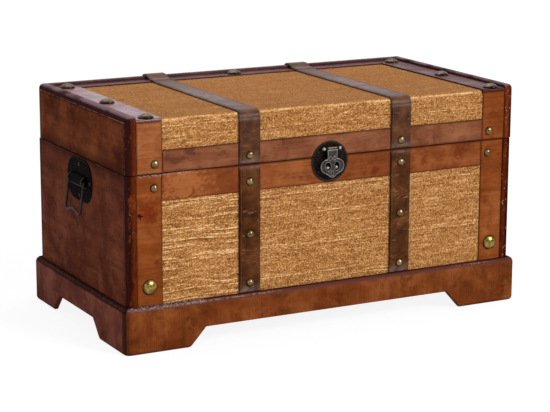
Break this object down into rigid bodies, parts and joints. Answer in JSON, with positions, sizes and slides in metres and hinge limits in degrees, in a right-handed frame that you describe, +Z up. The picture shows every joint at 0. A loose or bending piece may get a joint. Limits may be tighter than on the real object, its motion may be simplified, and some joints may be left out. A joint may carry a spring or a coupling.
{
  "type": "sea chest",
  "caption": "Plinth-footed wooden sea chest with a hinged lid, woven grass panels, leather straps, domed nails, a hasp latch, drop handles and lid stays.",
  "frame": {"origin": "centre of the footprint on the floor", "axes": "+X along the chest's length, -Y out of its front, +Z up"},
  "size_m": [0.7742, 0.406, 0.3938],
  "materials": {
    "front_wood": "orange-brown stained fir under worn satin lacquer",
    "rail_wood": "red-brown stained wood under satin lacquer",
    "side_wood": "dark red-brown stained wood with darker edges, satin lacquer",
    "rim_wood": "purple-brown stained wood, smooth satin lacquer",
    "plinth_wood": "red-brown stained wood with rubbed edges, satin lacquer",
    "inner_wood": "plain brown stained board, matt",
    "seagrass": "woven straw-coloured grass cloth, matt",
    "strap_leather": "dark brown grained leather with stitched edges",
    "antique_brass": "aged brass, dark in the hollows",
    "dark_bronze": "blackened bronze, worn on the high spots",
    "pewter": "aged pewter grey, worn bright on the edges"
  },
  "bodies": {
    "base": {"body_left_post": "front_wood", "body_right_post": "front_wood", "body_front_rail": "rail_wood", "body_left_end": "side_wood", "body_right_end": "side_wood", "body_back": "side_wood", "plinth_front": "plinth_wood", "plinth_back": "plinth_wood", "plinth_left": "plinth_wood", "plinth_right": "plinth_wood", "body_floor": "inner_wood", "body_front": "inner_wood", "body_weave": "seagrass", "body_left_strap": "strap_leather", "body_right_strap": "strap_leather", "body_left_foot_nail": "antique_brass", "body_right_foot_nail": "antique_brass", "body_left_post_nail": "antique_brass", "body_right_post_nail": "antique_brass", "hinge_left_lower": "antique_brass", "hinge_right_lower": "antique_brass", "stay_left_stud": "antique_brass", "stay_right_stud": "antique_brass", "latch_lower_plate": "dark_bronze", "handle_left_plate": "dark_bronze", "handle_right_plate": "dark_bronze"},
    "lid": {"lid_left_end": "side_wood", "lid_right_end": "side_wood", "lid_front": "inner_wood", "lid_back": "rim_wood", "lid_top": "inner_wood", "lid_front_rail": "rail_wood", "lid_left_post": "front_wood", "lid_right_post": "front_wood", "lid_left_strip": "rim_wood", "lid_right_strip": "rim_wood", "lid_strip_back": "rim_wood", "lid_weave": "seagrass", "lid_left_strap": "strap_leather", "lid_right_strap": "strap_leather", "lid_left_post_nail": "antique_brass", "lid_right_post_nail": "antique_brass", "lid_left_strip_nail_front": "antique_brass", "lid_left_strip_nail_middle": "antique_brass", "lid_left_strip_nail_back": "antique_brass", "lid_right_strip_nail_front": "antique_brass", "lid_right_strip_nail_middle": "antique_brass", "lid_right_strip_nail_back": "antique_brass", "lid_strip_back_nail": "antique_brass", "hinge_left_upper": "antique_brass", "hinge_right_upper": "antique_brass", "latch_upper_plate": "dark_bronze", "latch_pin": "pewter", "stay_left_pivot": "antique_brass", "stay_right_pivot": "antique_brass"},
    "hasp": {"latch_hasp": "pewter"},
    "bail_left": {"handle_left_bail": "dark_bronze"},
    "bail_right": {"handle_right_bail": "dark_bronze"},
    "stay_left": {"stay_left_arm": "antique_brass"},
    "stay_right": {"stay_right_arm": "antique_brass"}
  },
  "joints": [
    {"name": "lid_hinge", "type": "hinge", "parent": "base", "child": "lid", "pos_m": [0, 0.198, 0.295], "axis": [-1, 0, 0], "range_deg": [0, 100]},
    {"name": "hasp_hinge", "type": "hinge", "parent": "lid", "child": "hasp", "pos_m": [0.002, -0.1988, 0.3095], "axis": [-1, 0, 0], "range_deg": [0, 150]},
    {"name": "bail_left_hinge", "type": "hinge", "parent": "base", "child": "bail_left", "pos_m": [-0.377, 0, 0.255], "axis": [0, 1, 0], "range_deg": [0, 160]},
    {"name": "bail_right_hinge", "type": "hinge", "parent": "base", "child": "bail_right", "pos_m": [0.377, 0, 0.255], "axis": [0, -1, 0], "range_deg": [0, 160]},
    {"name": "stay_left_hinge", "type": "hinge", "parent": "lid", "child": "stay_left", "pos_m": [-0.34675, 0.07948, 0.31377], "axis": [-1, 0, 0], "range_deg": [-50, 0]},
    {"name": "stay_right_hinge", "type": "hinge", "parent": "lid", "child": "stay_right", "pos_m": [0.34675, 0.07948, 0.31377], "axis": [-1, 0, 0], "range_deg": [-50, 0]}
  ],
  "couplings": [
    {"joint": "stay_left_hinge", "follows": "lid_hinge", "ratio": -0.5},
    {"joint": "stay_right_hinge", "follows": "lid_hinge", "ratio": -0.5}
  ]
}
